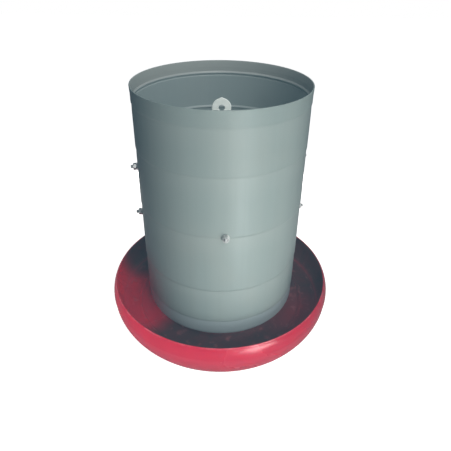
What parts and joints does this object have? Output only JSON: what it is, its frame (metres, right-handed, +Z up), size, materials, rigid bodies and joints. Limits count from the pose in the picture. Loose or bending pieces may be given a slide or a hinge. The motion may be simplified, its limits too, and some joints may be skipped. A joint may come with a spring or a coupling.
{
  "type": "poultry feeder",
  "caption": "Hanging or free-standing gravity poultry feeder: an open stepped tub over a round feed pan, on a tubular stem with a hanging eye and a pin that sets the feed gap.",
  "frame": {"origin": "centre of the pan's base ring, on the surface that the feeder stands on", "axes": "+Z up along the stem, -Y out of the front, towards which the hanging eye's flat side and the height pin's handle face, +X to the right as seen from the front"},
  "size_m": [0.414, 0.414, 0.435],
  "materials": {
    "grey_plastic": "semi-matte moulded plastic",
    "red_plastic": "satin moulded plastic",
    "galvanised_tube": "dull pale zinc coating",
    "zinc_steel": "bright zinc plating"
  },
  "bodies": {
    "base": {"pan": "red_plastic", "stem": "galvanised_tube", "stem_flange": "zinc_steel", "stem_rivet": "zinc_steel", "flange_1_screw": "zinc_steel", "flange_1_washer": "zinc_steel", "flange_1_nut": "zinc_steel", "flange_2_screw": "zinc_steel", "flange_2_washer": "zinc_steel", "flange_2_nut": "zinc_steel", "flange_3_screw": "zinc_steel", "flange_3_washer": "zinc_steel", "flange_3_nut": "zinc_steel"},
    "pin": {"height_pin": "zinc_steel"},
    "bearing": {"bearing_washer": "zinc_steel"},
    "hopper": {"tub": "grey_plastic", "cross_bar_lower": "zinc_steel", "cross_bar_upper": "zinc_steel", "guide_bar": "zinc_steel", "cross_bolt_left_screw": "zinc_steel", "cross_bolt_left_washer": "zinc_steel", "cross_bolt_left_nut": "zinc_steel", "cross_bolt_right_screw": "zinc_steel", "cross_bolt_right_washer": "zinc_steel", "cross_bolt_right_nut": "zinc_steel", "cross_bolt_front_screw": "zinc_steel", "cross_bolt_front_washer": "zinc_steel", "cross_bolt_front_nut": "zinc_steel", "cross_bolt_back_screw": "zinc_steel", "cross_bolt_back_washer": "zinc_steel", "cross_bolt_back_nut": "zinc_steel", "guide_bolt_left_screw": "zinc_steel", "guide_bolt_left_washer": "zinc_steel", "guide_bolt_left_nut": "zinc_steel", "guide_bolt_right_screw": "zinc_steel", "guide_bolt_right_washer": "zinc_steel", "guide_bolt_right_nut": "zinc_steel"}
  },
  "joints": [
    {"name": "pin_pull", "type": "slide", "parent": "base", "child": "pin", "axis": [0, -1, 0], "range_m": [0, 0.034]},
    {"name": "tub_lift", "type": "slide", "parent": "base", "child": "bearing", "axis": [0, 0, 1], "range_m": [0, 0.075]},
    {"name": "tub_turn", "type": "hinge", "parent": "bearing", "child": "hopper", "pos_m": [0, 0, 0.2213], "axis": [0, 0, 1], "continuous": true}
  ]
}
